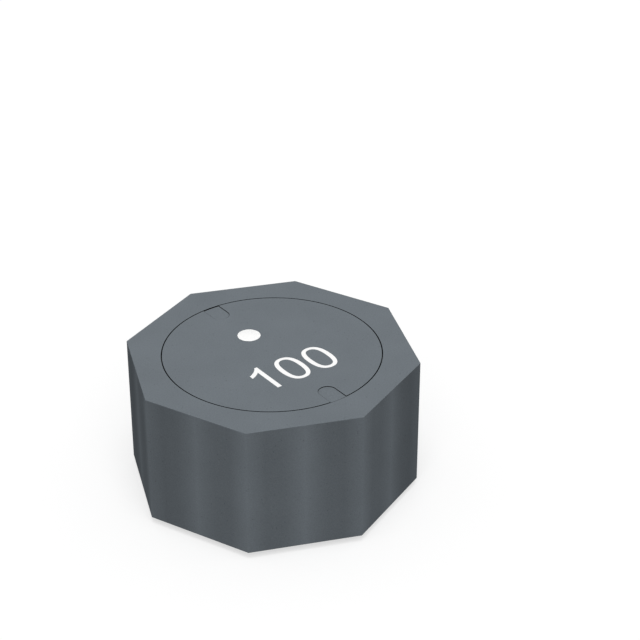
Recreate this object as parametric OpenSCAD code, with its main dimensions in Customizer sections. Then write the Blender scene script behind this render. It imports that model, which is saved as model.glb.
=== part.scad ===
// Shielded power inductor for surface mounting: an octagonal ferrite ring round a wound ferrite drum.
// Millimetres. The board is the plane z = 0, and the axis of the drum is the Z axis.
// +Y points from the centre to the start of the winding, and the marking on top reads along +X.

/* [Shield ring] */
// Width of the octagon across its flats
ring_flats = 8; // [7.6:0.05:11]
// Height of the ring
ring_h = 4.03; // [3.4:0.01:6]
// Break along the outer edges of the ring
edge_break = 0.02; // [0.01:0.01:0.1]
// Gap between the bore of the ring and the flanges of the drum
bore_gap = 0.035; // [0.02:0.005:0.15]

/* [Drum core] */
// Diameter of the two flanges
flange_d = 6.38; // [6.1:0.02:6.8]
// Thickness of each flange
flange_t = 0.85; // [0.75:0.05:1.1]
// Diameter of the post between the flanges
post_d = 2.8; // [2.2:0.05:3.6]
// Fillet between the post and the flanges
post_fillet = 0.1; // [0.04:0.01:0.16]
// How far the drum stands out below the ring
drum_proud = 0.15; // [0.05:0.01:0.4]

/* [Recesses in the top face] */
// Width of a recess
recess_w = 0.54; // [0.3:0.01:1]
// Length of a recess, inwards from the rim
recess_len = 0.77; // [0.6:0.01:1.4]
// Depth of a recess
recess_depth = 0.02; // [0.01:0.01:0.3]

/* [Lead slots] */
// Width of the slots through the bottom flange
slot_w = 0.6; // [0.54:0.01:0.8]
// Length of a slot, inwards from the rim
slot_len = 0.66; // [0.6:0.01:0.9]

/* [Winding] */
// Layers of wire, in pairs so that both leads leave at the bottom flange
layers = 4; // [2:2:6]
// Step between the diameters that the wire comes in
wire_step = 0.01; // [0.005:0.005:0.02]
// Clearance between the wire and the ferrite
wire_clear = 0.02; // [0.01:0.005:0.05]
// Gap between neighbouring turns, and between layers
turn_gap = 0.02; // [0.01:0.005:0.06]

/* [Terminals] */
// Thickness of the plated metal
terminal_t = 0.05; // [0.03:0.01:0.12]
// Reach of a terminal, inwards from the rim of the flange
terminal_len = 1.95; // [1.5:0.05:2.4]
// Bare margin between a terminal and the rim of the flange
terminal_inset = 0.08; // [0.04:0.01:0.2]
// Metal between the inner edge of a terminal and the end of its groove
groove_margin = 0.35; // [0.2:0.05:0.5]

/* [Solder] */
// Solder on each side of the lead in its groove
solder_side = 0.04; // [0.03:0.01:0.08]
// Solder over the lead, between it and the board
solder_cover = 0.03; // [0.02:0.005:0.06]
// How far the solder stays behind the face of the terminal
solder_sink = 0.01; // [0.005:0.005:0.02]

/* [Adhesive] */
// Height of each bead of adhesive in the gap
adhesive_h = 0.4; // [0.15:0.05:0.6]
// How far a bead stays behind the end face of the ring
adhesive_sink = 0.2; // [0.1:0.05:0.4]
// Space that the lower bead leaves on each side of a lead slot
adhesive_clear = 0.3; // [0.1:0.05:0.6]

/* [Polarity dot] */
// Diameter of the dot
dot_d = 0.69; // [0.4:0.01:1]
// Distance of the dot from the axis
dot_y = 1.175; // [0.8:0.025:1.8]
// Thickness of the ink
dot_t = 0.02; // [0.015:0.005:0.04]

/* [Hidden] */

ferrite = [0.43, 0.46, 0.49];
core_ferrite = [0.42, 0.45, 0.48];
copper = [0.72, 0.36, 0.16];
plating = [0.8, 0.8, 0.78];
solder_grey = [0.7, 0.71, 0.72];
epoxy = [0.12, 0.12, 0.13];
ink = [0.96, 0.96, 0.95];

round_fn = 96;
// Sides of the wire, and its steps in a full turn and in a bend
wire_sides = 8;
turn_steps = 24;
bend_steps = 4;
// Overshoot of a cutting shape past the face that it opens
cut = 0.5;

// The drum rests on its terminals, and its top is flush with the ring
flange_r = flange_d / 2;
drum_z = terminal_t;
ring_z = drum_z + drum_proud;
top_z = ring_z + ring_h;
drum_h = top_z - drum_z;
window_h = drum_h - 2 * flange_t;
bore_r = flange_r + bore_gap;

// A lead turns round the edge of its slot, so its bends have the radius of the slot's end
slot_y = flange_r - slot_len + slot_w / 2;
bend_r = slot_w / 2;

// The wire with its enamel is the thickest that goes through a slot and fills the space between the
// post and the slots with its layers. As many levels of it are wound as the window takes.
last_r_max = sqrt(slot_y * slot_y - bend_r * bend_r);
layer_room = (last_r_max - post_d / 2 - wire_clear - (layers - 1) * turn_gap) / (layers - 0.5);
wire_d = wire_step * floor(min(layer_room, slot_w - 2 * wire_clear) / wire_step);
wire_r = wire_d / 2;
pitch = wire_d + turn_gap;
first_r = post_d / 2 + wire_clear + wire_r;
levels = floor((window_h - 2 * wire_clear - wire_d) / pitch) + 1;

// The groove in each terminal holds the end of a lead, bedded in solder
lead_z = solder_sink + solder_cover + wire_r;
groove_w = wire_d + 2 * solder_side;
groove_top = lead_z + wire_r + wire_clear;
terminal_y = flange_r - terminal_inset - terminal_len;
groove_y = terminal_y + groove_margin;
lead_end_y = groove_y + solder_side;

// Distance from the axis to the wire of a layer, counted from 1
function layer_r(n) = first_r + (n - 1) * pitch;

// Height of the wire at a level, counted from 0 on the bottom flange
function level_z(s) = drum_z + flange_t + wire_clear + wire_r + s * pitch;

// The level half turns of a layer in winding order, on the +Y side, as [radius at its +X end,
// radius at its -X end, level]. The last one of a layer climbs to the next layer. The start lead
// crosses the lowest level, which the layers above the first leave free.
function layer_halves(n) =
    let (r = layer_r(n), top = levels - 1, lowest = n == 1 ? 0 : n == layers ? 1 : 2)
    n % 2 == 1
        ? [each [for (s = [lowest : 1 : top - 1]) [r, r, s]], [r, layer_r(n + 1), top]]
        : [each [for (s = [top - 1 : -1 : lowest]) [r, r, s]], if (n < layers) [r, layer_r(n + 1), 1]];

halves = [for (n = [1 : layers]) each layer_halves(n)];

function unit(v) = v / norm(v);
function eased(from, to, share) = from + (to - from) * (1 - cos(180 * share)) / 2;
function on_circle(radius, angle, z) = [radius * cos(angle), radius * sin(angle), z];

// The lead on the +Y side, from its soldered end: along the groove, up through the slot, and straight
// to the circle of the given radius, which it touches and follows to -X
function lead_path(radius, z) =
    let (
        turn = acos(radius / slot_y),
        inwards = [-cos(turn), -sin(turn), 0],
        slot = [0, slot_y, 0],
        arc_steps = ceil((90 - turn) / 360 * turn_steps)
    )
    [
        [0, lead_end_y, lead_z],
        for (i = [0 : bend_steps])
            let (a = 90 * i / bend_steps)
            slot + [0, -bend_r * (1 - sin(a)), lead_z + bend_r * (1 - cos(a))],
        for (i = [0 : bend_steps])
            let (a = 90 * i / bend_steps)
            slot + bend_r * (1 - cos(a)) * inwards + [0, 0, z - bend_r * (1 - sin(a))],
        for (i = [0 : arc_steps])
            on_circle(radius, 90 + turn + (90 - turn) * i / arc_steps, z)
    ];

start_path = lead_path(layer_r(1), level_z(0));
finish_lead = lead_path(layer_r(layers), level_z(1));
finish_path = [for (i = [len(finish_lead) - 2 : -1 : 0]) [finish_lead[i][0], -finish_lead[i][1], finish_lead[i][2]]];

// The wire steps to the next level on the -Y side and stays level on the +Y side
coil_path = [
    for (i = [1 : len(halves) - 1])
        let (before = halves[i - 1], now = halves[i], half_steps = turn_steps / 2)
        each [
            for (k = [1 : half_steps])
                on_circle(now[0], 180 + 180 * k / half_steps,
                    eased(level_z(before[2]), level_z(now[2]), k / half_steps)),
            for (k = [1 : half_steps])
                on_circle(eased(now[0], now[1], k / half_steps), 180 * k / half_steps, level_z(now[2]))
        ]
];

module octagon(flats) {
    circle(d = flats / cos(180 / 8), $fn = 8);
}

// A slot or recess with a round inner end, open at the rim on the +Y side
module rim_notch(width, length, height) {
    arc_y = flange_r - length + width / 2;
    translate([0, arc_y, 0]) cylinder(h = height, d = width, $fn = round_fn);
    translate([-width / 2, arc_y, 0]) cube([width, flange_r - arc_y + cut, height]);
}

module each_side() {
    children();
    mirror([0, 1, 0]) children();
}

module shield_ring() {
    color(ferrite) translate([0, 0, ring_z]) difference() {
        linear_extrude(ring_h) octagon(ring_flats);
        translate([0, 0, -cut]) cylinder(h = ring_h + 2 * cut, r = bore_r, $fn = round_fn);
        for (side = [0 : 7]) rotate([0, 0, (side + 0.5) * 360 / 8]) {
            edge_cutter();
            translate([0, 0, ring_h]) mirror([0, 0, 1]) edge_cutter();
        }
    }
}

// Takes the break off the lower edge of the ring that faces +X
module edge_cutter() {
    translate([(ring_flats - edge_break) / 2, 0, edge_break / 2]) rotate([0, 45, 0])
        translate([0, -ring_flats / 2, -cut / 2]) cube([cut, ring_flats, cut]);
}

// The space for the winding, as a half section with filleted inner corners
module window_section() {
    depth = flange_r + cut - post_d / 2;
    translate([post_d / 2, flange_t]) {
        translate([post_fillet, 0]) square([depth - post_fillet, window_h]);
        translate([0, post_fillet]) square([depth, window_h - 2 * post_fillet]);
        for (z = [post_fillet, window_h - post_fillet])
            translate([post_fillet, z]) circle(r = post_fillet, $fn = round_fn);
    }
}

module drum_core() {
    color(core_ferrite) difference() {
        translate([0, 0, drum_z]) rotate_extrude($fn = round_fn) difference() {
            square([flange_r, drum_h]);
            window_section();
        }
        each_side() {
            translate([0, 0, top_z - recess_depth]) rim_notch(recess_w, recess_len, recess_depth + cut);
            lead_slot();
            groove_lining();
        }
    }
}

module lead_slot() {
    translate([0, 0, drum_z - cut]) rim_notch(slot_w, slot_len, flange_t + cut + wire_clear);
}

// The plated groove under the flange as a full block, out to the slot
module groove_lining() {
    translate([-groove_w / 2 - terminal_t, groove_y - terminal_t, 0])
        cube([groove_w + 2 * terminal_t, slot_y - groove_y + terminal_t, groove_top + terminal_t]);
}

// What the plating leaves open in the groove
module groove_space() {
    translate([-groove_w / 2, groove_y, -cut]) cube([groove_w, slot_y - groove_y, groove_top + cut]);
}

module terminal() {
    color(plating) difference() {
        union() {
            intersection() {
                cylinder(h = terminal_t, r = flange_r - terminal_inset, $fn = round_fn);
                translate([-flange_r, terminal_y, 0]) cube([flange_d, flange_r, terminal_t]);
            }
            groove_lining();
        }
        groove_space();
        lead_slot();
    }
}

module start_terminal() {
    terminal();
}

module finish_terminal() {
    mirror([0, 1, 0]) terminal();
}

// A tube along a path of points. Each ring of corners stands square to the path, and is carried on
// from the one before without a twist.
module tube(path, radius) {
    last = len(path) - 1;
    along = [
        for (i = [0 : last])
            unit(unit(path[min(i + 1, last)] - path[min(i, last - 1)]) + unit(path[max(i, 1)] - path[max(i - 1, 0)]))
    ];
    first_up = unit(cross(along[0], [1, 0, 0]));
    up = [for (i = 0, u = first_up; i <= last; i = i + 1, u = unit(u - (u * along[min(i, last)]) * along[min(i, last)])) u];
    corners = [
        for (i = [0 : last], k = [0 : wire_sides - 1])
            let (a = (k + 0.5) * 360 / wire_sides)
            path[i] + radius * (cos(a) * up[i] + sin(a) * cross(along[i], up[i]))
    ];
    sides = [
        for (i = [0 : last - 1], k = [0 : wire_sides - 1])
            let (a = i * wire_sides + k, b = i * wire_sides + (k + 1) % wire_sides)
            each [[b, a, a + wire_sides], [b, a + wire_sides, b + wire_sides]]
    ];
    ends = [
        [for (k = [0 : wire_sides - 1]) k],
        [for (k = [wire_sides - 1 : -1 : 0]) last * wire_sides + k]
    ];
    polyhedron(points = corners, faces = concat(sides, ends), convexity = 10);
}

module wire() {
    tube(concat(start_path, coil_path, finish_path), wire_r);
}

module winding() {
    color(copper) wire();
}

// The solder of a lead before the wire is taken out of it
module solder_block() {
    translate([0, 0, solder_sink]) {
        translate([-groove_w / 2, groove_y, 0])
            cube([groove_w, slot_y - groove_y, groove_top - solder_sink]);
        translate([0, slot_y, 0]) cylinder(h = groove_top - solder_sink, d = groove_w, $fn = round_fn);
    }
}

module start_solder() {
    color(solder_grey) difference() {
        solder_block();
        wire();
    }
}

module finish_solder() {
    color(solder_grey) difference() {
        mirror([0, 1, 0]) solder_block();
        wire();
    }
}

module adhesive_section() {
    translate([flange_r, 0]) square([bore_gap, adhesive_h]);
}

module upper_adhesive() {
    color(epoxy) translate([0, 0, top_z - adhesive_sink - adhesive_h])
        rotate_extrude($fn = round_fn) adhesive_section();
}

// Two arcs, which leave the lead slots open
module lower_adhesive() {
    open_angle = 2 * asin((slot_w / 2 + adhesive_clear) / flange_r);
    color(epoxy) translate([0, 0, ring_z + adhesive_sink]) for (side = [-1, 1])
        rotate([0, 0, side * 90 - 90 + open_angle / 2])
            rotate_extrude(angle = 180 - open_angle, $fn = round_fn) adhesive_section();
}

module polarity_dot() {
    color(ink) translate([0, dot_y, top_z]) cylinder(h = dot_t, d = dot_d, $fn = round_fn);
}

shield_ring();
drum_core();
winding();
start_terminal();
finish_terminal();
start_solder();
finish_solder();
upper_adhesive();
lower_adhesive();
polarity_dot();
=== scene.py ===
"""A shielded surface-mount power inductor: its finished pieces, materials and studio stage."""

import math
from contextlib import contextmanager

import bmesh
import bpy
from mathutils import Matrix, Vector


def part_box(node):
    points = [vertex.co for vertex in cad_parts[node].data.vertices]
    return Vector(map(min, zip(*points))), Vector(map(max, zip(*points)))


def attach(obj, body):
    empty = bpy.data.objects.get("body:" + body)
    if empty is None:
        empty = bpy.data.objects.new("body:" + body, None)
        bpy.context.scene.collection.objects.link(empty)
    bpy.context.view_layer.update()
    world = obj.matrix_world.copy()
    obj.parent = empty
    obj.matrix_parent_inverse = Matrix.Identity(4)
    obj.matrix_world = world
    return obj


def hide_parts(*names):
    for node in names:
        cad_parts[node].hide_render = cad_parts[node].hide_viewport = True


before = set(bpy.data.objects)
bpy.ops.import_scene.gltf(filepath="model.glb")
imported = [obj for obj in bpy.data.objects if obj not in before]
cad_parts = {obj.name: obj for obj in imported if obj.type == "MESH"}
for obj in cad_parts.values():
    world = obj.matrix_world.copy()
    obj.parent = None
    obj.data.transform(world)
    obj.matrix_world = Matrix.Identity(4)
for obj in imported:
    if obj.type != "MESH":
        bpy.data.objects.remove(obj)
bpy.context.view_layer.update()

bl_info = {
    "name": "Shielded Power Inductor",
    "version": (1, 0, 0),
    "blender": (4, 5, 0),
    "location": "View3D > Sidebar > Inductor",
    "description": "Builds an octagonal shielded inductor for surface mounting, piece by piece",
    "category": "Add Mesh",
}

MM = 0.001
# Vertices closer than this are one vertex
WELD = 1e-8
# Sides of a round form that shows
FINE = 256
# Overshoot of a cutting shape past the face that it opens
CUT = 0.5 * MM
# Slack when faces and edges are picked by their place
NEAR = 10 * WELD
# Sides of the shield ring
OCTAGON = 8

# Grains, pores or clouds along one metre of a surface
FINE_GRAIN = 26000.0
COARSE_GRAIN = 9000.0
PORES = 8500.0
CLOUDS = 700.0
FILM_CLOUDS = 1800.0

# Where the painted highlight ridges on the ring's sides lie, on the way from a corner, 0, to the
# middle of a side, 1
CORNER_HIGHLIGHT_END = 0.31
CORNER_HIGHLIGHT_PEAK = 1.1
MIDDLE_HIGHLIGHT_START = 0.56
MIDDLE_HIGHLIGHT_SHARPNESS = 1.4

# Steps of the solder's surface in millimetres, as an inset and a rise: it wets the plating, dips
# beside the lead and comes out over it again
SOLDER_STEPS = ((0.03, 0.013), (0.04, 0.011), (0.05, -0.008), (0.05, -0.008))

# Each lamp: a point on the way to it, and its spread in degrees
OVERHEAD_LAMP = ((-0.10, -0.14, 1.0), 30.0)
FRONT_LAMP = ((-0.54, -0.84, 1.0), 50.0)
LAMP_DISTANCE = 60 * MM
FLOOR_SIZE = 1.2
# The floor lies this far under the terminals, so that the two faces don't flicker
FLOOR_DROP = 0.002 * MM
FLOOR_WHITE = 0.95

RING_LOW, RING_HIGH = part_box("shield_ring")
DRUM_LOW, DRUM_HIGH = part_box("drum_core")
TERMINAL_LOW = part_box("start_terminal")[0]
SOLDER_LOW, SOLDER_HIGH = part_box("start_solder")
DOT_LOW, DOT_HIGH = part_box("polarity_dot")


def length(name, description, default):
    return bpy.props.FloatProperty(
        name=name, description=description, default=default, min=0.0, precision=6, unit="LENGTH"
    )


def colour(name, description, default):
    return bpy.props.FloatVectorProperty(
        name=name, description=description, default=default, min=0.0, max=1.0, size=3, subtype="COLOR"
    )


def share(name, description, default):
    return bpy.props.FloatProperty(
        name=name, description=description, default=default, min=0.0, max=1.0, subtype="FACTOR"
    )


class InductorSizes(bpy.types.PropertyGroup):
    """Sizes of the pieces, in the frame of the CAD model"""

    corner_radius: length("Corner radius", "From the axis to a corner of the octagon", RING_HIGH.x)
    ring_bottom: length("Ring bottom", "Height of the ring's lower face", RING_LOW.z)
    top: length("Top", "Height of the flush top faces", RING_HIGH.z)
    edge_break: length("Edge break", "Break along the ring's outer edges", 0.015 * MM)
    bore_radius: length("Bore radius", "Radius of the ring's bore", 3.225 * MM)
    flange_radius: length("Flange radius", "Radius of the drum's two flanges", DRUM_HIGH.x)
    drum_bottom: length("Drum bottom", "Height of the drum's lower face", DRUM_LOW.z)
    flange_thickness: length("Flange thickness", "Thickness of each flange", 0.85 * MM)
    post_radius: length("Post radius", "Radius of the post between the flanges", 1.4 * MM)
    post_fillet: length("Post fillet", "Fillet between the post and the flanges", 0.1 * MM)
    rim_break: length("Rim break", "Break along the rim of the lower flange", 0.02 * MM)
    recess_width: length("Recess width", "Width of the recesses in the top face", 0.54 * MM)
    recess_length: length("Recess length", "Length of a recess, inwards from the rim", 0.77 * MM)
    recess_depth: length("Recess depth", "Depth of the recesses", 0.02 * MM)
    recess_break: length("Recess break", "Break along the upper edge of a recess", 0.010 * MM)
    slot_width: length("Slot width", "Width of the lead slots", 0.6 * MM)
    slot_length: length("Slot length", "Length of a lead slot, inwards from the rim", 0.66 * MM)
    wire_radius: length("Wire radius", "Radius of the enamelled wire", 0.19 * MM)
    wire_clearance: length("Wire clearance", "Between the wire and the ferrite", 0.02 * MM)
    turn_gap: length("Turn gap", "Between neighbouring turns and layers", 0.02 * MM)
    layers: bpy.props.IntProperty(
        name="Layers", description="Layers of wire, an even number", default=4, min=2
    )
    levels: bpy.props.IntProperty(
        name="Levels", description="Turns that fit between the flanges", default=6, min=4
    )
    terminal_thickness: length("Terminal thickness", "Thickness of the plated metal", 0.05 * MM)
    terminal_radius: length("Terminal radius", "Radius of the terminals' round edge", 3.11 * MM)
    terminal_edge: length(
        "Terminal edge", "From the axis to a terminal's straight edge", TERMINAL_LOW.y
    )
    groove_end: length("Groove end", "From the axis to the end of a groove", SOLDER_LOW.y)
    groove_width: length("Groove width", "Width of a groove inside its plating", 2 * SOLDER_HIGH.x)
    groove_top: length("Groove top", "Height of a groove inside its plating", SOLDER_HIGH.z)
    solder_bottom: length("Solder bottom", "Height of the solder's lower face", SOLDER_LOW.z)
    solder_cover: length("Solder cover", "Solder under the lead", 0.03 * MM)
    solder_side: length("Solder side", "Solder past the end of the lead", 0.04 * MM)
    dot_radius: length("Dot radius", "Radius of the polarity dot", 0.34 * MM)
    dot_distance: length("Dot distance", "From the axis to the dot", (DOT_LOW.y + DOT_HIGH.y) / 2)
    ink_thickness: length("Ink thickness", "Thickness of the printed ink", 0.004 * MM)


class InductorFinish(bpy.types.PropertyGroup):
    """Colours and strengths of the materials"""

    ferrite: colour("Ferrite", "Colour of the ring and drum", (0.1568, 0.1781, 0.1966))
    # Near black: painted shade on the walls of the gap between ring and drum and on the recess walls
    gap_shade: colour(
        "Ferrite with painted gap shade", "Colour of the walls that epoxy has wetted", (0.006, 0.0065, 0.0075)
    )
    grain: share("Grain", "Contrast of the sintered grain", 0.10)
    mottle: share("Mottle", "Contrast of the soft clouds in the ferrite", 0.035)
    # Painted shading: light upright bands at the corners and in mid-side of the ring's sides, darker
    # between
    bands: share("Painted shading bands", "Contrast of the upright bands on the ring's sides", 0.117)
    copper: colour("Copper", "Colour of the enamelled wire", (0.60, 0.20, 0.065))
    plating: colour("Plating", "Colour of the tin plating", (0.55, 0.55, 0.535))
    solder: colour("Solder", "Colour of the solder", (0.55, 0.56, 0.57))
    epoxy: colour("Epoxy", "Colour of the adhesive", (0.012, 0.012, 0.013))
    ink: colour("Ink", "Colour of the marking", (0.985, 0.985, 0.98))


class InductorStage(bpy.types.PropertyGroup):
    """Camera, lamps and floor"""

    camera_place: bpy.props.FloatVectorProperty(
        name="Camera place",
        description="Where the camera stands",
        default=(-25.5037 * MM, -36.4700 * MM, 30.9704 * MM),
        precision=6,
        subtype="TRANSLATION",
    )
    camera_turn: bpy.props.FloatVectorProperty(
        name="Camera turn",
        description="How the camera is turned",
        default=(math.radians(60.0058), math.radians(0.0102), math.radians(-36.7656)),
        subtype="EULER",
    )
    lens: bpy.props.FloatProperty(
        name="Lens", description="Focal length in millimetres", default=100.474, min=1.0
    )
    overhead: bpy.props.FloatProperty(
        name="Overhead", description="Strength of the overhead lamp", default=0.85, min=0.0
    )
    front: bpy.props.FloatProperty(
        name="Front", description="Strength of the lamp in front", default=1.02, min=0.0
    )
    fill: bpy.props.FloatProperty(
        name="Fill", description="Strength of the light from all round", default=0.50, min=0.0
    )
    floor_share: share("Floor share", "How much of the floor's white takes shadow", 0.45)
    floor_glow: bpy.props.FloatProperty(
        name="Floor glow", description="Strength of the floor's own white", default=1.09, min=0.0
    )
    floor_bounce: share("Floor bounce", "How much light the floor gives back", 0.22)


def select_only(piece):
    if bpy.context.object and bpy.context.object.mode != "OBJECT":
        bpy.ops.object.mode_set(mode="OBJECT")
    bpy.ops.object.select_all(action="DESELECT")
    piece.select_set(True)
    bpy.context.view_layer.objects.active = piece


def named(name):
    """Names the new active object and moves its place into its mesh."""
    piece = bpy.context.object
    piece.name = name
    piece.data.name = name
    bpy.ops.object.transform_apply(location=True, rotation=True, scale=True)
    return piece


def add_cylinder(name, radius, low, high, sides=FINE, centre=(0.0, 0.0)):
    bpy.ops.object.select_all(action="DESELECT")
    bpy.ops.mesh.primitive_cylinder_add(
        vertices=sides,
        radius=radius,
        depth=high - low,
        location=(centre[0], centre[1], (low + high) / 2),
    )
    return named(name)


def add_block(name, low, high):
    low, high = Vector(low), Vector(high)
    bpy.ops.object.select_all(action="DESELECT")
    bpy.ops.mesh.primitive_cube_add(size=1, location=(low + high) / 2, scale=high - low)
    return named(name)


@contextmanager
def editing(piece, kind="FACE"):
    select_only(piece)
    bpy.ops.object.mode_set(mode="EDIT")
    bpy.ops.mesh.select_mode(type=kind)
    bpy.ops.mesh.select_all(action="DESELECT")
    yield
    bpy.ops.object.mode_set(mode="OBJECT")


def pick_faces(piece, test):
    """Selects the faces for which test(middle, normal) holds."""
    mesh = bmesh.from_edit_mesh(piece.data)
    for face in mesh.faces:
        face.select_set(test(face.calc_center_median(), face.normal))
    mesh.select_flush_mode()
    bmesh.update_edit_mesh(piece.data)


def upright(normal):
    return abs(normal.z) < 0.5


def give_material(piece, index, test):
    """Gives the material in slot index to the faces for which test(middle, normal) holds."""
    with editing(piece):
        pick_faces(piece, test)
        piece.active_material_index = index
        bpy.ops.object.material_slot_assign()


def pick_edges(piece, test):
    """Selects the edges for which test(one end, other end) holds."""
    mesh = bmesh.from_edit_mesh(piece.data)
    for edge in mesh.edges:
        edge.select_set(test(edge.verts[0].co, edge.verts[1].co))
    mesh.select_flush_mode()
    bmesh.update_edit_mesh(piece.data)


def pick_vertices(piece, test):
    mesh = bmesh.from_edit_mesh(piece.data)
    for vertex in mesh.verts:
        vertex.select_set(test(vertex.co))
    mesh.select_flush_mode()
    bmesh.update_edit_mesh(piece.data)


def combine(piece, other, operation):
    """Cuts, joins or crosses the piece with the other one, which is used up."""
    select_only(piece)
    bpy.ops.object.modifier_add(type="BOOLEAN")
    modifier = piece.modifiers[-1]
    modifier.operation = operation
    modifier.solver = "EXACT"
    modifier.object = other
    bpy.ops.object.modifier_apply(modifier=modifier.name)
    bpy.data.objects.remove(other)


def keep_outer(distance, side):
    """Cuts the piece in edit mode at a plane across Y, and keeps what lies beyond it on one side."""
    bpy.ops.mesh.select_all(action="SELECT")
    bpy.ops.mesh.bisect(
        plane_co=(0, side * distance, 0), plane_no=(0, side, 0),
        clear_inner=True, use_fill=True, threshold=WELD,
    )


def weld(piece):
    with editing(piece, "VERT"):
        bpy.ops.mesh.select_all(action="SELECT")
        bpy.ops.mesh.remove_doubles(threshold=WELD)
        bpy.ops.mesh.normals_make_consistent(inside=False)


def smooth(piece, degrees=12.0):
    select_only(piece)
    bpy.ops.object.shade_smooth_by_angle(angle=math.radians(degrees))


def add_notch(name, width, depth_in, sizes, low, high, side):
    """A cutter for a slot with a round inner end, open at the flange's rim on one side of X."""
    arc = sizes.flange_radius - depth_in + width / 2
    cutter = add_cylinder(name, width / 2, low, high, sides=64, centre=(0.0, side * arc))
    with editing(cutter, "VERT"):
        pick_vertices(cutter, lambda co: side * co.y > arc + WELD)
        bpy.ops.transform.translate(value=(0.0, side * 2 * width, 0.0))
    return cutter


def finish_piece(piece, slot, *nodes):
    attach(piece, "root")
    if nodes:
        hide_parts(*nodes)


def new_group(name, inputs, outputs):
    """A shader group with named sockets, and the nodes that hold its inputs and outputs."""
    group = bpy.data.node_groups.new(name, "ShaderNodeTree")
    for socket, kind, default in inputs:
        made = group.interface.new_socket(name=socket, in_out="INPUT", socket_type=kind)
        made.default_value = default
    for socket, kind in outputs:
        group.interface.new_socket(name=socket, in_out="OUTPUT", socket_type=kind)
    return group, group.nodes.new("NodeGroupInput"), group.nodes.new("NodeGroupOutput")


def feed(tree, target, value):
    """Links an input to the socket that it is given, or sets it to the plain value."""
    if isinstance(value, bpy.types.NodeSocket):
        tree.links.new(value, target)
    else:
        target.default_value = value


def fed_node(tree, kind, *values):
    """A new node with sockets or plain values on its first inputs."""
    node = tree.nodes.new(kind)
    for target, value in zip(node.inputs, values):
        feed(tree, target, value)
    return node


def maths(tree, operation, *values):
    """A Math node's output, from numbers or sockets."""
    node = fed_node(tree, "ShaderNodeMath", *values)
    node.operation = operation
    return node.outputs[0]


def vector_maths(tree, operation, *values):
    """A Vector Math node's output, from vectors or sockets."""
    node = fed_node(tree, "ShaderNodeVectorMath", *values)
    node.operation = operation
    return node.outputs[0]


def mapped(tree, value, low, high, to_low, to_high):
    """The value taken from low..high to to_low..to_high, each a number or a socket."""
    return fed_node(tree, "ShaderNodeMapRange", value, low, high, to_low, to_high).outputs[0]


def tone_of(tree, pattern, low, high, contrast):
    """A tone about 1: darker by the contrast where the pattern is low, lighter where it is high."""
    darkest, lightest = maths(tree, "SUBTRACT", 1.0, contrast), maths(tree, "ADD", 1.0, contrast)
    return mapped(tree, pattern, low, high, darkest, lightest)


def noise(tree, place, scale, detail=2.0, roughness=0.5):
    """A Noise Texture's value, with a number or a socket as its scale."""
    node = tree.nodes.new("ShaderNodeTexNoise")
    feed(tree, node.inputs["Scale"], scale)
    node.inputs["Detail"].default_value = detail
    node.inputs["Roughness"].default_value = roughness
    tree.links.new(place, node.inputs["Vector"])
    return node.outputs["Fac"]


def tinted(tree, tone, source):
    """The source colour multiplied by a tone. Gives a colour."""
    scale = tree.nodes.new("ShaderNodeVectorMath")
    scale.operation = "SCALE"
    tree.links.new(source, scale.inputs[0])
    tree.links.new(tone, scale.inputs["Scale"])
    return scale.outputs[0]


def object_place(tree):
    return tree.nodes.new("ShaderNodeTexCoord").outputs["Object"]


def sintered_grain_group():
    """Fine grain, soft clouds and small pores of sintered ferrite."""
    tree, given, result = new_group(
        "Sintered grain",
        [
            ("Color", "NodeSocketColor", (0.2, 0.2, 0.2, 1.0)),
            ("Grain", "NodeSocketFloat", 0.1),
            ("Mottle", "NodeSocketFloat", 0.03),
            ("Roughness", "NodeSocketFloat", 0.6),
        ],
        [
            ("Color", "NodeSocketColor"),
            ("Roughness", "NodeSocketFloat"),
            ("Height", "NodeSocketFloat"),
        ],
    )
    place = object_place(tree)
    fine = noise(tree, place, FINE_GRAIN, 3.0, 0.6)
    coarse = noise(tree, place, COARSE_GRAIN, 2.0)
    clouds = noise(tree, place, CLOUDS, 3.0)
    pores = tree.nodes.new("ShaderNodeTexVoronoi")
    pores.inputs["Scale"].default_value = PORES
    tree.links.new(place, pores.inputs["Vector"])
    depth = mapped(tree, pores.outputs["Distance"], 0.10, 0.22, 1.0, 0.0)
    rare = maths(tree, "GREATER_THAN", coarse, 0.56)
    pore = maths(tree, "MULTIPLY", depth, rare)

    grain = given.outputs["Grain"]
    grain_tone = tone_of(tree, fine, 0.25, 0.75, grain)
    cloud_tone = tone_of(tree, clouds, 0.3, 0.7, given.outputs["Mottle"])
    deepest = maths(tree, "SUBTRACT", 1.0, maths(tree, "MULTIPLY", grain, 2.0))
    pore_tone = mapped(tree, pore, 0.0, 1.0, 1.0, deepest)
    tone = maths(tree, "MULTIPLY", maths(tree, "MULTIPLY", grain_tone, cloud_tone), pore_tone)
    tree.links.new(tinted(tree, tone, given.outputs["Color"]), result.inputs["Color"])
    uneven = mapped(tree, coarse, 0.3, 0.7, -0.05, 0.05)
    rough = maths(tree, "ADD", given.outputs["Roughness"], uneven)
    tree.links.new(rough, result.inputs["Roughness"])
    height = maths(tree, "SUBTRACT", maths(tree, "MULTIPLY", fine, 0.5), pore)
    tree.links.new(height, result.inputs["Height"])
    return tree


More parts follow.
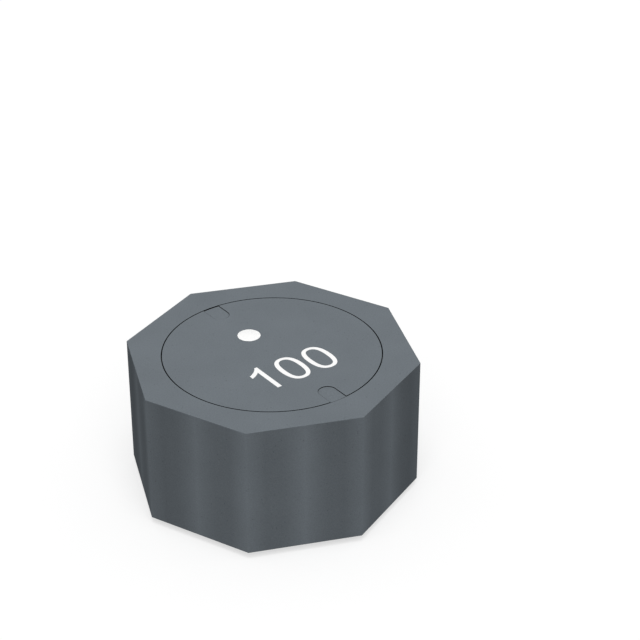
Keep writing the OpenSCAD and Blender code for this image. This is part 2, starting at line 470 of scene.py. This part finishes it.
def painted_shading_bands_group():
    """Painted shading on the ring's sides: light upright bands at the corners and in mid-side, darker
    between them.
    """
    tree, given, result = new_group(
        "Painted shading bands",
        [
            ("Color", "NodeSocketColor", (0.2, 0.2, 0.2, 1.0)),
            ("Sides", "NodeSocketFloat", float(OCTAGON)),
            ("Contrast", "NodeSocketFloat", 0.1),
            ("Bow", "NodeSocketFloat", 1.0),
        ],
        [("Color", "NodeSocketColor"), ("Normal", "NodeSocketVector")],
    )
    place = object_place(tree)
    split = tree.nodes.new("ShaderNodeSeparateXYZ")
    tree.links.new(place, split.inputs[0])
    angle = maths(tree, "ARCTAN2", split.outputs["Y"], split.outputs["X"])
    turns = maths(tree, "MULTIPLY", maths(tree, "DIVIDE", angle, math.pi), given.outputs["Sides"])
    # 0 at a corner and 1 in the middle of a side
    way = maths(tree, "PINGPONG", turns, 1.0)
    corner = mapped(tree, way, 0.0, CORNER_HIGHLIGHT_END, CORNER_HIGHLIGHT_PEAK, 0.0)
    middle = mapped(tree, way, MIDDLE_HIGHLIGHT_START, 1.0, 0.0, 1.0)
    middle = maths(tree, "POWER", middle, MIDDLE_HIGHLIGHT_SHARPNESS)
    # Painted highlights on the ridges and painted shade between them
    ridges = maths(tree, "MULTIPLY_ADD", maths(tree, "MAXIMUM", corner, middle), 2.0, -1.0)
    tone = maths(tree, "ADD", 1.0, maths(tree, "MULTIPLY", ridges, given.outputs["Contrast"]))
    tree.links.new(tinted(tree, tone, given.outputs["Color"]), result.inputs["Color"])

    # The sides are very slightly crowned, so their normals lean towards the way out from the axis
    level = vector_maths(tree, "MULTIPLY", place, (1.0, 1.0, 0.0))
    outwards = vector_maths(tree, "NORMALIZE", level)
    flat = tree.nodes.new("ShaderNodeNewGeometry").outputs["Normal"]
    lean = tree.nodes.new("ShaderNodeMix")
    lean.data_type = "VECTOR"
    tree.links.new(given.outputs["Bow"], lean.inputs["Factor"])
    tree.links.new(flat, lean.inputs["A"])
    tree.links.new(outwards, lean.inputs["B"])
    tree.links.new(vector_maths(tree, "NORMALIZE", lean.outputs["Result"]), result.inputs["Normal"])
    return tree


def surface_film_group():
    """Uneven gloss and faint blotches of a thin coat: plating, solder, enamel, epoxy or ink."""
    tree, given, result = new_group(
        "Surface film",
        [
            ("Color", "NodeSocketColor", (0.6, 0.6, 0.6, 1.0)),
            ("Blotches", "NodeSocketFloat", 0.1),
            ("Roughness", "NodeSocketFloat", 0.35),
            ("Grain Scale", "NodeSocketFloat", 6000.0),
        ],
        [
            ("Color", "NodeSocketColor"),
            ("Roughness", "NodeSocketFloat"),
            ("Height", "NodeSocketFloat"),
        ],
    )
    place = object_place(tree)
    grain = noise(tree, place, given.outputs["Grain Scale"], 3.0)
    clouds = noise(tree, place, FILM_CLOUDS, 2.0)
    tone = tone_of(tree, clouds, 0.3, 0.7, given.outputs["Blotches"])
    tree.links.new(tinted(tree, tone, given.outputs["Color"]), result.inputs["Color"])
    uneven = mapped(tree, clouds, 0.3, 0.7, 0.08, -0.08)
    rough = maths(tree, "ADD", given.outputs["Roughness"], uneven)
    tree.links.new(rough, result.inputs["Roughness"])
    tree.links.new(grain, result.inputs["Height"])
    return tree


GROUPS = {
    "Sintered grain": sintered_grain_group,
    "Painted shading bands": painted_shading_bands_group,
    "Surface film": surface_film_group,
}


def placed_group(tree, name, **values):
    """A group node of that name, with sockets or plain values on its inputs."""
    node = tree.nodes.new("ShaderNodeGroup")
    node.node_tree = bpy.data.node_groups.get(name) or GROUPS[name]()
    for socket, value in values.items():
        feed(tree, node.inputs[socket.replace("_", " ")], value)
    return node


def new_material(name, metallic=0.0, specular=0.5):
    """A material with nodes, its tree and its Principled shader."""
    material = bpy.data.materials.new(name)
    material.use_nodes = True
    tree = material.node_tree
    shader = tree.nodes["Principled BSDF"]
    shader.inputs["Metallic"].default_value = metallic
    shader.inputs["Specular IOR Level"].default_value = specular
    return material, tree, shader


def bumped(tree, shader, height, distance, strength=1.0):
    """A Bump node between the height and the shader. Gives the node."""
    bump = tree.nodes.new("ShaderNodeBump")
    bump.inputs["Strength"].default_value = strength
    bump.inputs["Distance"].default_value = distance
    tree.links.new(height, bump.inputs["Height"])
    tree.links.new(bump.outputs["Normal"], shader.inputs["Normal"])
    return bump


def rgba(values):
    return (*values, 1.0)


def ferrite_material(name, base, finish, bands=0.0, roughness=0.8, specular=0.06):
    material, tree, shader = new_material(name, specular=specular)
    grain = placed_group(
        tree,
        "Sintered grain",
        Color=rgba(base),
        Grain=finish.grain,
        Mottle=finish.mottle,
        Roughness=roughness,
    )
    bump = bumped(tree, shader, grain.outputs["Height"], 0.004 * MM, 0.5)
    surface = grain.outputs["Color"]
    # The painted shading bands, light and dark, tint the base colour
    if bands:
        shading_bands = placed_group(
            tree, "Painted shading bands", Color=surface, Sides=OCTAGON, Contrast=bands
        )
        surface = shading_bands.outputs["Color"]
        tree.links.new(shading_bands.outputs["Normal"], bump.inputs["Normal"])
    tree.links.new(surface, shader.inputs["Base Color"])
    tree.links.new(grain.outputs["Roughness"], shader.inputs["Roughness"])
    return material


def gap_shade_material(finish):
    """Ferrite walls of the gap and of the recesses, painted near black as shade. The ring and the
    drum share it.
    """
    name = "Ferrite with painted gap shade"
    return bpy.data.materials.get(name) or ferrite_material(
        name, finish.gap_shade, finish, roughness=0.5
    )


def film_material(
    name, base, blotches, roughness, grain_scale, grain_depth, bump, metallic=0.0, specular=0.5
):
    """A material whose surface is a thin film with grain. Gives the material and its shader."""
    material, tree, shader = new_material(name, metallic, specular)
    film = placed_group(
        tree,
        "Surface film",
        Color=rgba(base),
        Blotches=blotches,
        Roughness=roughness,
        Grain_Scale=grain_scale,
    )
    tree.links.new(film.outputs["Color"], shader.inputs["Base Color"])
    tree.links.new(film.outputs["Roughness"], shader.inputs["Roughness"])
    bumped(tree, shader, film.outputs["Height"], grain_depth, bump)
    return material, shader


def metal_material(name, base, roughness, grain_scale):
    return film_material(
        name, base, blotches=0.10, roughness=roughness, grain_scale=grain_scale,
        grain_depth=0.006 * MM, bump=0.4, metallic=1.0,
    )[0]


class INDUCTOR_OT_shield_ring(bpy.types.Operator):
    """Builds the octagonal ferrite ring with its bore"""

    bl_idname = "inductor.shield_ring"
    bl_label = "Shield Ring"

    def execute(self, context):
        sizes, finish = context.scene.inductor_sizes, context.scene.inductor_finish
        ring = add_cylinder(
            "shield_ring_body", sizes.corner_radius, sizes.ring_bottom, sizes.top, sides=OCTAGON
        )
        with editing(ring, "EDGE"):
            bpy.ops.mesh.select_all(action="SELECT")
            bpy.ops.mesh.bevel(offset=sizes.edge_break, offset_type="WIDTH", segments=1)
        bore = add_cylinder("bore", sizes.bore_radius, sizes.ring_bottom - CUT, sizes.top + CUT)
        combine(ring, bore, "DIFFERENCE")
        weld(ring)
        smooth(ring)
        ground = ferrite_material("Ground ferrite", finish.ferrite, finish)
        # The sides carry the painted shading bands
        pressed = ferrite_material(
            "Pressed ferrite with painted bands", finish.ferrite, finish, finish.bands, specular=0.0
        )
        ring.data.materials.append(ground)
        ring.data.materials.append(pressed)
        ring.data.materials.append(gap_shade_material(finish))
        within = (sizes.bore_radius + sizes.corner_radius) / 2
        give_material(
            ring, 1, lambda middle, normal: upright(normal) and middle.xy.length > within
        )
        # The bore wall takes the painted gap shade
        give_material(
            ring, 2, lambda middle, normal: upright(normal) and middle.xy.length < within
        )
        finish_piece(ring, "ring_ferrite", "shield_ring")
        return {"FINISHED"}


class INDUCTOR_OT_drum_core(bpy.types.Operator):
    """Builds the ferrite drum with its recesses, lead slots and grooves"""

    bl_idname = "inductor.drum_core"
    bl_label = "Drum Core"

    def execute(self, context):
        sizes, finish = context.scene.inductor_sizes, context.scene.inductor_finish
        drum = add_cylinder("drum_body", sizes.flange_radius, sizes.drum_bottom, sizes.top)
        window_low = sizes.drum_bottom + sizes.flange_thickness
        window_high = sizes.top - sizes.flange_thickness
        with editing(drum):
            for height in (sizes.ring_bottom, window_low, window_high):
                bpy.ops.mesh.select_all(action="SELECT")
                bpy.ops.mesh.bisect(
                    plane_co=(0, 0, height), plane_no=(0, 0, 1), threshold=WELD
                )
            pick_faces(
                drum,
                lambda middle, normal: upright(normal) and window_low < middle.z < window_high,
            )
            bpy.ops.mesh.extrude_region_move()
            inwards = sizes.post_radius / sizes.flange_radius
            bpy.ops.transform.resize(value=(inwards, inwards, 1.0), center_override=(0, 0, 0))
        with editing(drum, "EDGE"):
            post = sizes.post_radius + NEAR
            pick_edges(
                drum,
                lambda a, b: max(a.xy.length, b.xy.length) < post and abs(a.z - b.z) < WELD,
            )
            bpy.ops.mesh.bevel(offset=sizes.post_fillet, offset_type="OFFSET", segments=5)
            rim = sizes.flange_radius - NEAR
            pick_edges(
                drum,
                lambda a, b: min(a.xy.length, b.xy.length) > rim
                and max(a.z, b.z) < sizes.drum_bottom + WELD,
            )
            bpy.ops.mesh.bevel(offset=sizes.rim_break, offset_type="OFFSET", segments=1)
        for side in (1, -1):
            combine(drum, recess_cutter(sizes, side), "DIFFERENCE")
            slot = add_notch(
                "slot", sizes.slot_width, sizes.slot_length, sizes,
                sizes.drum_bottom - CUT, window_low + sizes.wire_clearance, side,
            )
            combine(drum, slot, "DIFFERENCE")
            combine(drum, lining_block(sizes, side), "DIFFERENCE")
        weld(drum)
        smooth(drum)
        drum.data.materials.append(ferrite_material("Drum ferrite", finish.ferrite, finish))
        drum.data.materials.append(gap_shade_material(finish))
        rim, recess_floor = sizes.flange_radius - 0.01 * MM, sizes.top - sizes.recess_depth

        def in_the_gap(middle):
            return middle.xy.length > rim and middle.z > sizes.ring_bottom

        # The flare of a recess leans less than this, and the top face doesn't
        steepest = 0.95
        # The rim in the gap and the walls of the recesses take the painted gap shade
        give_material(
            drum, 1,
            lambda middle, normal: abs(normal.z) < steepest
            and (in_the_gap(middle) or middle.z > recess_floor),
        )
        finish_piece(drum, "core_ferrite", "drum_core")
        return {"FINISHED"}


def recess_cutter(sizes, side):
    """A notch whose upper edge flares a little, as the moulded recess does."""
    fall = sizes.recess_break / 2
    cutter = add_notch(
        "recess", sizes.recess_width, sizes.recess_length, sizes,
        sizes.top - sizes.recess_depth, sizes.top - fall, side,
    )
    wider = 1 + 2 * sizes.recess_break / sizes.recess_width
    arc = sizes.flange_radius - sizes.recess_length + sizes.recess_width / 2
    with editing(cutter):
        pick_faces(cutter, lambda middle, normal: normal.z > 0.5)
        bpy.ops.mesh.extrude_region_move(TRANSFORM_OT_translate={"value": (0, 0, fall)})
        bpy.ops.transform.resize(value=(wider, wider, 1), center_override=(0, side * arc, 0))
        bpy.ops.mesh.extrude_region_move(TRANSFORM_OT_translate={"value": (0, 0, CUT)})
    return cutter


def slot_centre(sizes):
    return sizes.flange_radius - sizes.slot_length + sizes.slot_width / 2


def block_on_side(name, half_width, near, far, low, high, side):
    """A block across the Y axis, from near to far on one side of X."""
    ends = sorted((side * near, side * far))
    return add_block(name, (-half_width, ends[0], low), (half_width, ends[1], high))


def lining_block(sizes, side):
    metal = sizes.terminal_thickness
    return block_on_side(
        "lining", sizes.groove_width / 2 + metal, sizes.groove_end - metal, slot_centre(sizes),
        0.0, sizes.groove_top + metal, side,
    )


class INDUCTOR_OT_terminals(bpy.types.Operator):
    """Builds the two plated terminals with their grooves"""

    bl_idname = "inductor.terminals"
    bl_label = "Terminals"

    def execute(self, context):
        sizes, finish = context.scene.inductor_sizes, context.scene.inductor_finish
        plated = metal_material("Tin plating", finish.plating, 0.36, 9000.0)
        for name, side in (("start_terminal", 1), ("finish_terminal", -1)):
            plate = add_cylinder(
                name + "_plate", sizes.terminal_radius, 0.0, sizes.terminal_thickness
            )
            with editing(plate):
                keep_outer(sizes.terminal_edge, side)
            combine(plate, lining_block(sizes, side), "UNION")
            space = block_on_side(
                "groove", sizes.groove_width / 2, sizes.groove_end, slot_centre(sizes) + CUT,
                -CUT, sizes.groove_top, side,
            )
            combine(plate, space, "DIFFERENCE")
            slot = add_notch(
                "slot", sizes.slot_width, sizes.slot_length, sizes, -CUT, 2 * CUT, side
            )
            combine(plate, slot, "DIFFERENCE")
            weld(plate)
            smooth(plate)
            plate.data.materials.append(plated)
            finish_piece(plate, "terminal_plating", name)
        return {"FINISHED"}


class INDUCTOR_OT_solder(bpy.types.Operator):
    """Builds the solder that beds each lead in its groove"""

    bl_idname = "inductor.solder"
    bl_label = "Solder"

    def execute(self, context):
        sizes, finish = context.scene.inductor_sizes, context.scene.inductor_finish
        bright = metal_material("Solder", finish.solder, 0.24, 2500.0)
        centre, half = slot_centre(sizes), sizes.groove_width / 2
        for name, side in (("start_solder", 1), ("finish_solder", -1)):
            bead = add_cylinder(
                name + "_bead", half, sizes.solder_bottom, sizes.groove_top,
                sides=48, centre=(0.0, side * centre),
            )
            with editing(bead):
                keep_outer(centre, side)
                pick_faces(bead, lambda middle, normal: side * normal.y < -0.99)
                reach = side * (sizes.groove_end - centre)
                bpy.ops.mesh.extrude_region_move(TRANSFORM_OT_translate={"value": (0, reach, 0)})
            with editing(bead):
                pick_faces(bead, lambda middle, normal: normal.z < -0.5)
                for inset, rise in SOLDER_STEPS:
                    bpy.ops.mesh.inset(thickness=inset * MM)
                    bpy.ops.transform.translate(value=(0, 0, rise * MM))
            weld(bead)
            smooth(bead, 75.0)
            bead.data.materials.append(bright)
            finish_piece(bead, "solder", name)
        return {"FINISHED"}


def eased(start, end, part):
    return start + (end - start) * (1 - math.cos(math.pi * part)) / 2


def on_circle(radius, angle, height):
    return Vector((radius * math.cos(angle), radius * math.sin(angle), height))


def lead_route(sizes, radius, height, steps):
    """The lead on the +Y side: along its groove, up through its slot, and on to a circle.

    A bend has as many steps as given, and a full turn has eight times as many.
    """
    centre, bend = slot_centre(sizes), sizes.slot_width / 2
    low = sizes.solder_bottom + sizes.solder_cover + sizes.wire_radius
    turn = math.acos(radius / centre)
    inwards = Vector((-math.cos(turn), -math.sin(turn), 0))
    slot = Vector((0, centre, 0))
    quarter = [math.pi / 2 * i / steps for i in range(steps + 1)]
    route = [Vector((0, sizes.groove_end + sizes.solder_side, low))]
    route += [
        slot + Vector((0, -bend * (1 - math.sin(a)), low + bend * (1 - math.cos(a)))) for a in quarter
    ]
    route += [
        slot + bend * (1 - math.cos(a)) * inwards + Vector((0, 0, height - bend * (1 - math.sin(a))))
        for a in quarter
    ]
    arc = math.ceil((math.pi / 2 - turn) / (2 * math.pi) * 8 * steps)
    route += [
        on_circle(radius, math.pi / 2 + turn + (math.pi / 2 - turn) * i / arc, height)
        for i in range(arc + 1)
    ]
    return route


def winding_route(sizes, steps=8):
    """The whole wire: steps of level on the -Y side, level half turns on the +Y side."""
    pitch = 2 * sizes.wire_radius + sizes.turn_gap
    first = sizes.post_radius + sizes.wire_clearance + sizes.wire_radius
    base = sizes.drum_bottom + sizes.flange_thickness + sizes.wire_clearance + sizes.wire_radius
    top, last = sizes.levels - 1, sizes.layers - 1

    def radius(layer):
        return first + layer * pitch

    def height(level):
        return base + level * pitch

    halves = []
    for layer in range(sizes.layers):
        lowest = 0 if layer == 0 else 1 if layer == last else 2
        here, beyond = radius(layer), radius(layer + 1)
        if layer % 2 == 0:
            halves += [(here, here, level) for level in range(lowest, top)] + [(here, beyond, top)]
        else:
            halves += [(here, here, level) for level in range(top - 1, lowest - 1, -1)]
            if layer < last:
                halves.append((here, beyond, 1))

    route = lead_route(sizes, radius(0), height(0), steps)
    parts = [k / (4 * steps) for k in range(1, 4 * steps + 1)]
    for before, now in zip(halves, halves[1:]):
        route += [
            on_circle(now[0], math.pi * (1 + p), eased(height(before[2]), height(now[2]), p))
            for p in parts
        ]
        route += [on_circle(eased(now[0], now[1], p), math.pi * p, height(now[2])) for p in parts]
    ending = lead_route(sizes, radius(last), height(1), steps)[:-1]
    return route + [Vector((co.x, -co.y, co.z)) for co in reversed(ending)]


class INDUCTOR_OT_winding(bpy.types.Operator):
    """Winds the wire in its layers and leads both its ends to the terminals"""

    bl_idname = "inductor.winding"
    bl_label = "Winding"

    def execute(self, context):
        sizes, finish = context.scene.inductor_sizes, context.scene.inductor_finish
        route = winding_route(sizes)
        bpy.ops.object.select_all(action="DESELECT")
        bpy.ops.curve.primitive_nurbs_path_add()
        wire = context.object
        wire.data.splines.clear()
        line = wire.data.splines.new("POLY")
        line.points.add(len(route) - 1)
        for point, place in zip(line.points, route):
            point.co = (*place, 1.0)
        wire.data.bevel_depth = sizes.wire_radius
        wire.data.bevel_resolution = 4
        wire.data.use_fill_caps = True
        bpy.ops.object.convert(target="MESH")
        wire = named("winding_wire")
        weld(wire)
        smooth(wire, 60.0)
        wire.data.materials.append(enamel_material(finish))
        finish_piece(wire, "enamelled_wire", "winding")
        return {"FINISHED"}


def enamel_material(finish):
    """Copper under its clear enamel."""
    material, shader = film_material(
        "Enamelled copper", finish.copper, blotches=0.12, roughness=0.32, grain_scale=5000.0,
        grain_depth=0.003 * MM, bump=0.3, metallic=0.85,
    )
    shader.inputs["Coat Weight"].default_value = 0.8
    shader.inputs["Coat Roughness"].default_value = 0.12
    return material


class INDUCTOR_OT_adhesive(bpy.types.Operator):
    """Gives the beads of epoxy between ring and drum their finish"""

    bl_idname = "inductor.adhesive"
    bl_label = "Adhesive"

    def execute(self, context):
        cured = film_material(
            "Cured epoxy", context.scene.inductor_finish.epoxy, blotches=0.2, roughness=0.4,
            grain_scale=4000.0, grain_depth=0.005 * MM, bump=0.5,
        )[0]
        for node in ("upper_adhesive", "lower_adhesive"):
            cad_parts[node].material_slots[0].material = cured
        return {"FINISHED"}


# Outline of the numeral one in millimetres, from its foot round to its foot, as points with the
# handles before and after them. A point without handles is a corner.
ONE = (
    ((-0.997, -1.684), None, None),
    ((-0.856, -1.684), None, None),
    ((-0.856, -0.450), None, None),
    ((-0.945, -0.450), None, (-1.000, -0.570)),
    ((-1.300, -0.742), (-1.150, -0.687), None),
    ((-1.300, -0.888), None, (-1.190, -0.850)),
    ((-0.997, -0.700), (-1.075, -0.785), None),
)
# Each zero: outer low and high corner, inner low and high corner, in millimetres
ZEROS = (
    ((-0.453, -1.702), (0.345, -0.450), (-0.304, -1.587), (0.199, -0.560)),
    ((0.510, -1.702), (1.307, -0.450), (0.655, -1.590), (1.162, -0.561)),
)
# How full the corners of the outer and the inner oval are: 0.55 is an ellipse
FULLNESS = (0.66, 0.70)


def add_outline(spline_points, curve):
    """A closed Bezier spline from points with handles, in metres, in the plane of the curve."""
    spline = curve.splines.new("BEZIER")
    spline.bezier_points.add(len(spline_points) - 1)
    spline.use_cyclic_u = True
    spline.resolution_u = 16
    for point, (place, before, after) in zip(spline.bezier_points, spline_points):
        point.handle_left_type = "FREE" if before else "VECTOR"
        point.handle_right_type = "FREE" if after else "VECTOR"
        point.co = Vector((*place, 0)) * MM
        point.handle_left = Vector((*(before or place), 0)) * MM
        point.handle_right = Vector((*(after or place), 0)) * MM


def oval(low, high, fullness):
    """Four Bezier points of an upright oval between two corners."""
    (x0, y0), (x1, y1) = low, high
    x, y, a, b = (x0 + x1) / 2, (y0 + y1) / 2, (x1 - x0) / 2, (y1 - y0) / 2
    points = []
    for along_x, along_y in ((1, 0), (0, 1), (-1, 0), (0, -1)):
        place = (x + a * along_x, y + b * along_y)
        step = (-a * fullness * along_y, b * fullness * along_x)
        before = (place[0] - step[0], place[1] - step[1])
        after = (place[0] + step[0], place[1] + step[1])
        points.append((place, before, after))
    return points


def add_numeral(name, outlines, sizes):
    """A flat numeral of ink on the drum's top face."""
    bpy.ops.object.select_all(action="DESELECT")
    bpy.ops.curve.primitive_bezier_circle_add(radius=MM)
    numeral = bpy.context.object
    numeral.data.splines.clear()
    for outline in outlines:
        add_outline(outline, numeral.data)
    numeral.data.dimensions = "2D"
    numeral.data.fill_mode = "BOTH"
    numeral.data.extrude = sizes.ink_thickness / 2
    bpy.ops.object.convert(target="MESH")
    numeral = bpy.context.object
    numeral.location = (0, 0, sizes.top + sizes.ink_thickness / 2)
    numeral = named(name)
    weld(numeral)
    smooth(numeral, 30.0)
    return numeral


class INDUCTOR_OT_marking(bpy.types.Operator):
    """Prints the polarity dot and the value code"""

    bl_idname = "inductor.marking"
    bl_label = "Marking"

    def execute(self, context):
        sizes, finish = context.scene.inductor_sizes, context.scene.inductor_finish
        ink = film_material(
            "Marking ink", finish.ink, blotches=0.012, roughness=0.55, grain_scale=12000.0,
            grain_depth=0.003 * MM, bump=0.4, specular=0.2,
        )[0]
        dot = add_cylinder(
            "polarity_dot_ink", sizes.dot_radius, sizes.top, sizes.top + sizes.ink_thickness,
            sides=128, centre=(0.0, sizes.dot_distance),
        )
        with editing(dot, "EDGE"):
            pick_edges(dot, lambda a, b: min(a.z, b.z) > sizes.top + sizes.ink_thickness / 2)
            bpy.ops.mesh.bevel(offset=sizes.ink_thickness / 3, offset_type="OFFSET", segments=2)
        smooth(dot, 50.0)
        dot.data.materials.append(ink)
        finish_piece(dot, "marking_ink", "polarity_dot")
        numerals = [add_numeral("numeral_1", [ONE], sizes)]
        for count, (low, high, inner_low, inner_high) in enumerate(ZEROS, start=2):
            outlines = [oval(low, high, FULLNESS[0]), oval(inner_low, inner_high, FULLNESS[1])]
            numerals.append(add_numeral(f"numeral_{count}", outlines, sizes))
        for numeral in numerals:
            numeral.data.materials.append(ink)
            finish_piece(numeral, "marking_ink")
        return {"FINISHED"}


def seen_directly(tree):
    """1 for rays from the camera, from gloss and through glass, and 0 for the others."""
    path = tree.nodes.new("ShaderNodeLightPath")
    seen = maths(tree, "MAXIMUM", path.outputs["Is Camera Ray"], path.outputs["Is Glossy Ray"])
    return maths(tree, "MAXIMUM", seen, path.outputs["Is Transmission Ray"])


def white_floor_material(stage):
    """White with the object's shadow where it is seen, and darker in the light it gives back."""
    material = bpy.data.materials.new("White floor")
    material.use_nodes = True
    tree = material.node_tree
    tree.nodes.remove(tree.nodes["Principled BSDF"])
    output = tree.nodes["Material Output"]
    caught = tree.nodes.new("ShaderNodeBsdfDiffuse")
    caught.inputs["Color"].default_value = rgba([FLOOR_WHITE] * 3)
    glow = tree.nodes.new("ShaderNodeEmission")
    glow.inputs["Strength"].default_value = stage.floor_glow
    shown = tree.nodes.new("ShaderNodeMixShader")
    shown.inputs["Fac"].default_value = stage.floor_share
    tree.links.new(glow.outputs[0], shown.inputs[1])
    tree.links.new(caught.outputs[0], shown.inputs[2])
    bounce = tree.nodes.new("ShaderNodeBsdfDiffuse")
    bounce.inputs["Color"].default_value = rgba([stage.floor_bounce] * 3)
    both = tree.nodes.new("ShaderNodeMixShader")
    tree.links.new(seen_directly(tree), both.inputs["Fac"])
    tree.links.new(bounce.outputs[0], both.inputs[1])
    tree.links.new(shown.outputs[0], both.inputs[2])
    tree.links.new(both.outputs[0], output.inputs["Surface"])
    return material


def add_sun(name, strength, direction, spread):
    """A broad lamp that shines from a direction, given as a point on the way to it."""
    bpy.ops.object.select_all(action="DESELECT")
    place = Vector(direction).normalized() * LAMP_DISTANCE
    bpy.ops.object.light_add(type="SUN", location=place)
    lamp = bpy.context.object
    lamp.name = name
    lamp.data.energy = strength
    lamp.data.angle = math.radians(spread)
    lamp.rotation_euler = Vector(direction).to_track_quat("Z", "Y").to_euler()


class INDUCTOR_OT_stage(bpy.types.Operator):
    """Sets up the white floor, the lamps and the camera"""

    bl_idname = "inductor.stage"
    bl_label = "Stage"

    def execute(self, context):
        scene, stage = context.scene, context.scene.inductor_stage
        bpy.ops.object.select_all(action="DESELECT")
        bpy.ops.mesh.primitive_plane_add(size=FLOOR_SIZE, location=(0, 0, -FLOOR_DROP))
        floor = named("floor")
        floor.data.materials.append(white_floor_material(stage))

        world = bpy.data.worlds.new("Studio")
        world.use_nodes = True
        tree = world.node_tree
        strength = mapped(tree, seen_directly(tree), 0.0, 1.0, stage.fill, 1.0)
        background = tree.nodes["Background"]
        background.inputs["Color"].default_value = (1.0, 1.0, 1.0, 1.0)
        tree.links.new(strength, background.inputs["Strength"])
        scene.world = world

        add_sun("Overhead", stage.overhead, *OVERHEAD_LAMP)
        add_sun("Front", stage.front, *FRONT_LAMP)

        bpy.ops.object.camera_add(location=stage.camera_place, rotation=stage.camera_turn)
        camera = context.object
        camera.data.lens = stage.lens
        camera.data.sensor_width = 36.0
        camera.data.clip_start = MM
        camera.data.clip_end = 10.0
        camera.data.dof.use_dof = False
        scene.camera = camera
        scene.view_settings.view_transform = "Standard"
        return {"FINISHED"}


PIECES = (
    INDUCTOR_OT_shield_ring,
    INDUCTOR_OT_drum_core,
    INDUCTOR_OT_terminals,
    INDUCTOR_OT_winding,
    INDUCTOR_OT_solder,
    INDUCTOR_OT_adhesive,
    INDUCTOR_OT_marking,
    INDUCTOR_OT_stage,
)


class INDUCTOR_PT_panel(bpy.types.Panel):
    """Lists the pieces of the inductor"""

    bl_idname = "INDUCTOR_PT_panel"
    bl_label = "Shielded Inductor"
    bl_space_type = "VIEW_3D"
    bl_region_type = "UI"
    bl_category = "Inductor"

    def draw(self, context):
        for piece in PIECES:
            self.layout.operator(piece.bl_idname)
        for group in ("inductor_sizes", "inductor_finish", "inductor_stage"):
            values = getattr(context.scene, group)
            box = self.layout.box()
            for name in values.__annotations__:
                box.prop(values, name)


CLASSES = (InductorSizes, InductorFinish, InductorStage, *PIECES, INDUCTOR_PT_panel)


def register():
    for item in CLASSES:
        bpy.utils.register_class(item)
    bpy.types.Scene.inductor_sizes = bpy.props.PointerProperty(type=InductorSizes)
    bpy.types.Scene.inductor_finish = bpy.props.PointerProperty(type=InductorFinish)
    bpy.types.Scene.inductor_stage = bpy.props.PointerProperty(type=InductorStage)


def unregister():
    del bpy.types.Scene.inductor_stage
    del bpy.types.Scene.inductor_finish
    del bpy.types.Scene.inductor_sizes
    for item in reversed(CLASSES):
        bpy.utils.unregister_class(item)


def main():
    register()
    bpy.ops.inductor.shield_ring()
    bpy.ops.inductor.drum_core()
    bpy.ops.inductor.terminals()
    bpy.ops.inductor.winding()
    bpy.ops.inductor.solder()
    bpy.ops.inductor.adhesive()
    bpy.ops.inductor.marking()
    bpy.ops.inductor.stage()


if __name__ == "__main__":
    main()
